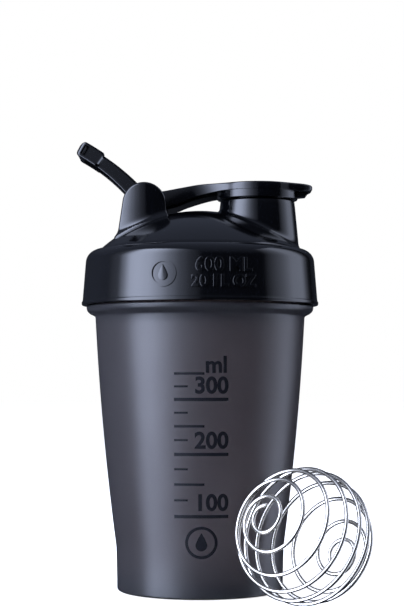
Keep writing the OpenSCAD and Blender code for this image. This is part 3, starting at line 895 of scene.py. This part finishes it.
line = bpy.data.curves.new("winding", "CURVE")
line.dimensions, line.bevel_depth, line.bevel_resolution = "3D", wire_r, 4
steps = round(wind_turns * 56)
spline = line.splines.new("POLY")
spline.points.add(steps)
for i, point in enumerate(spline.points):
    point.co = (*on_ball(wire_start + (1 - wire_start) * i / steps), 1)
winding = bpy.data.objects.new("winding", line)
scene.collection.objects.link(winding)
bpy.context.view_layer.update()
wire = bpy.data.meshes.new_from_object(winding.evaluated_get(bpy.context.evaluated_depsgraph_get()))
bm = bmesh.new()
bm.from_mesh(wire)
for t in (wire_start, 1):
    bmesh.ops.create_uvsphere(bm, u_segments=16, v_segments=10, radius=0.99 * wire_r,
                              matrix=Matrix.Translation(on_ball(t)))
bpy.data.objects.remove(winding)
bpy.data.curves.remove(line)
bpy.data.meshes.remove(wire)
finish_piece(bm, "wire_ball", "whisk_ball", wire_steel, ["whisk_ball"], sharp=60, merge=0.0005)

# %% [markdown]
# ## Marks
# The lid carries raised marks and the cup printed ones. Only plain marks are made here: what the bottle
# holds, a scale, and a drop. All are drawn flat, cut into narrow strips, and wrapped round the wall they
# belong to.

# %% Flat marks
def lettering(bm, words, size, at, thickness, edge=0.0, bold=0.02):
    """Adds words as a solid, centred on a place in the flat."""
    text = bpy.data.curves.new("words", "FONT")
    text.body, text.size, text.align_x, text.align_y = words, size, "CENTER", "CENTER"
    text.extrude, text.bevel_depth = thickness / 2 - edge, edge
    text.offset, text.resolution_u = bold * size, 6
    shape = bpy.data.objects.new("words", text)
    scene.collection.objects.link(shape)
    bpy.context.view_layer.update()
    mesh = bpy.data.meshes.new_from_object(shape.evaluated_get(bpy.context.evaluated_depsgraph_get()))
    mesh.transform(Matrix.Translation((at[0], at[1], thickness / 2)))
    bm.from_mesh(mesh)
    bpy.data.objects.remove(shape)
    bpy.data.curves.remove(text)
    bpy.data.meshes.remove(mesh)


def flat_shape(bm, corners, thickness, edge=0.0):
    """Adds a flat outline as a solid, with its upper rim rounded where an edge is given."""
    far = raise_sheet(bm, [(x, y, 0) for x, y in corners], thickness)
    if edge:
        round_rim(bm, far, edge, 2)


def drop_mark(bm, at, size, thickness, edge=0.0):
    """A water drop in a ring, the plain sign for a liquid."""
    x, y = at
    hole = 0.82 * size
    circle = arc((0, 0), 1, 0, 360, 48)[:-1]
    outer = [(x + size * px, y + size * py) for px, py in circle]
    inner = [(x + hole * px, y + hole * py) for px, py in reversed(circle)]
    loops = []
    for line in (outer, inner):
        corners = [bm.verts.new((*p, 0)) for p in line]
        loops += [bm.edges.new((corners[i], corners[(i + 1) % len(corners)])) for i in range(len(corners))]
    faces = bmesh.ops.bridge_loops(bm, edges=loops)["faces"]
    grown = bmesh.ops.extrude_face_region(bm, geom=faces, use_keep_orig=True)
    bmesh.ops.translate(bm, vec=(0, 0, thickness),
                        verts=[v for v in grown["geom"] if isinstance(v, bmesh.types.BMVert)])
    drop = arc((x, y - 0.16 * size), 0.36 * size, -205, 25, 24)
    drop += [(x + px * size, y + py * size) for px, py in ((0.2, 0.28), (0, 0.62), (-0.2, 0.28))]
    flat_shape(bm, drop, thickness, edge)


def wrap(bm, wall_r, sunk):
    """Bends flat marks round a wall whose radius is a function of height. Flat x goes round, y is height."""
    slice_along(bm, "x", -28, 28, 0.8)
    for v in bm.verts:
        r = wall_r(v.co.y) + v.co.z - sunk
        a = v.co.x / wall_r(v.co.y)
        v.co = (r * math.sin(a), -r * math.cos(a), v.co.y)


# %% Raised marks on the lid
skirt_low_r, skirt_low_z, skirt_lean = 48.85, 119.2, 0.0712
raised, raised_edge, raised_sunk, words_x = 0.7, 0.18, 0.1, 9.5


def skirt_wall(z):
    """Outer radius of the lid's leaning skirt."""
    return skirt_low_r - (z - skirt_low_z) * skirt_lean


bm = bmesh.new()
lettering(bm, "600 ML", 7.4, (words_x, 131.0), raised, raised_edge)
lettering(bm, "20 FL OZ", 6.4, (words_x, 124.6), raised, raised_edge)
drop_mark(bm, (-14.6, 127.9), 5.4, raised, raised_edge)
wrap(bm, skirt_wall, raised_sunk)
finish_piece(bm, "lid_marks", "lid", black_gloss, ["lid"], sharp=30, merge=0.001)

# %% Scale of the cup, from the volume of its inside
slice_h, ink, ink_sunk = 0.1, 0.07, 0.02
scale_x, digits_x, digit_size, digit_bold = -10.2, 4.6, 9.0, 0.03


def fill_height(millilitres):
    """Height of the drink's surface for a volume, summed from thin slices of the cup's inside."""
    z, volume = cup_floor, 0.0
    while volume < millilitres * 1000:
        volume += math.pi * (flare_r(z) - cup_wall) ** 2 * slice_h
        z += slice_h
    return z


bm = bmesh.new()
for amount in range(100, 351, 25):
    z = fill_height(amount)
    whole, middle = amount % 100 == 0, amount % 50 == 0
    long, thick = (21.5, 1.3) if whole else (12.0, 1.0) if middle else (5.5, 0.8)
    flat_shape(bm, [(scale_x, z - thick / 2), (scale_x + long, z - thick / 2),
                    (scale_x + long, z + thick / 2), (scale_x, z + thick / 2)], ink)
    if whole:
        lettering(bm, str(amount), digit_size, (digits_x, z + 5.2), ink, bold=digit_bold)
        print(f"{amount} ml at {z:.1f} mm")
lettering(bm, "ml", digit_size, (6.5, fill_height(350) + 3.2), ink, bold=digit_bold)
drop_mark(bm, (0.6, 22.5), 6.4, ink)
wrap(bm, flare_r, ink_sunk)
printed_ink = finish_of(
    "printed_ink", (0.006, 0.006, 0.008), {"IOR": 1.5, "Specular IOR Level": 0.15},
    {"Wave Size": 60.0, "Grain Size": 3000.0, "Gloss": 0.5, "Unevenness": 0.03}, 0.05)
finish_piece(bm, "cup_scale", "cup", printed_ink, ["cup"], sharp=30, merge=0.001)

# %% [markdown]
# ## Bring the scene up to date
# The scene is brought up to date once every finished piece is in place.

# %% Update the scene
bpy.context.view_layer.update()
